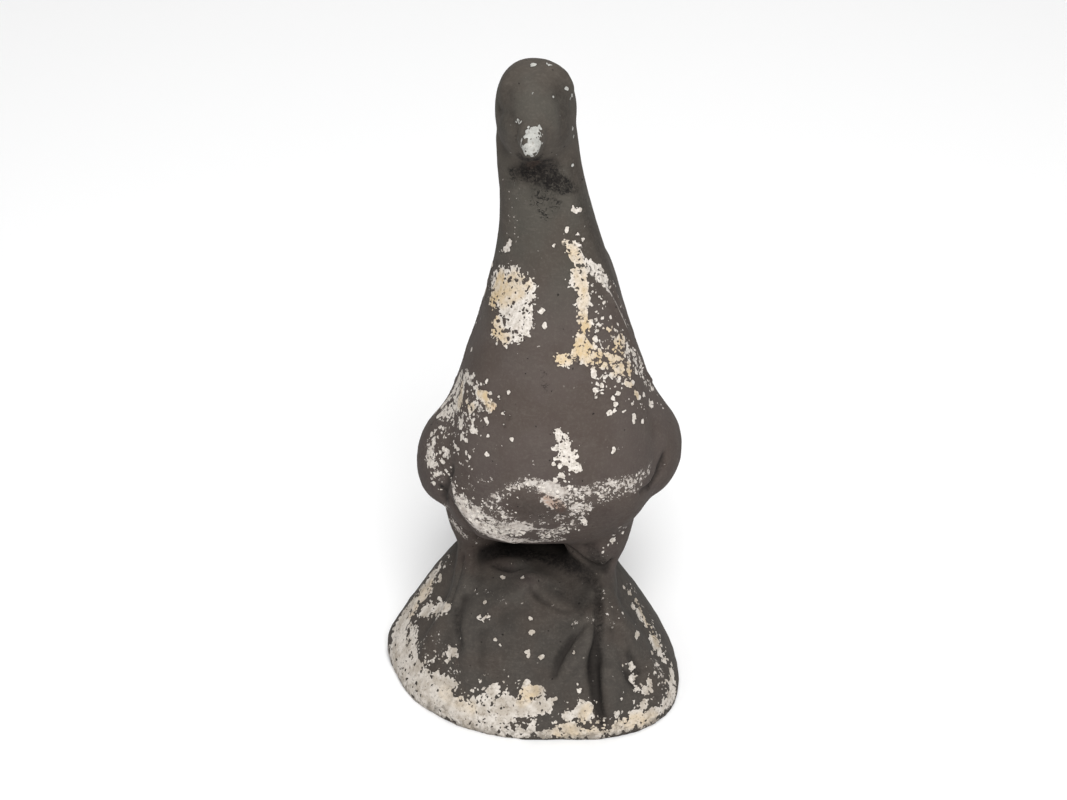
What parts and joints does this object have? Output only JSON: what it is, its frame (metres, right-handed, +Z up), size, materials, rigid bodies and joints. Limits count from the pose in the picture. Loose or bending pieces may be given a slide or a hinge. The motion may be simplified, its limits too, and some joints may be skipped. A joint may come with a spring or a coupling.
{
  "type": "dove statue",
  "caption": "Garden statue of a standing dove on a rounded rock, cast in cement as one piece, with worn dark paint.",
  "frame": {"origin": "middle of the rock's flat underside, at the level of the ground", "axes": "+Z up; the dove faces -Y, its tail points to +Y; +X is on its left"},
  "size_m": [0.141, 0.2246, 0.304],
  "materials": {
    "painted_cement": "matt dark grey-brown paint worn through to pale cement"
  },
  "bodies": {
    "root": {"dove_on_rock": "painted_cement"}
  },
  "joints": []
}
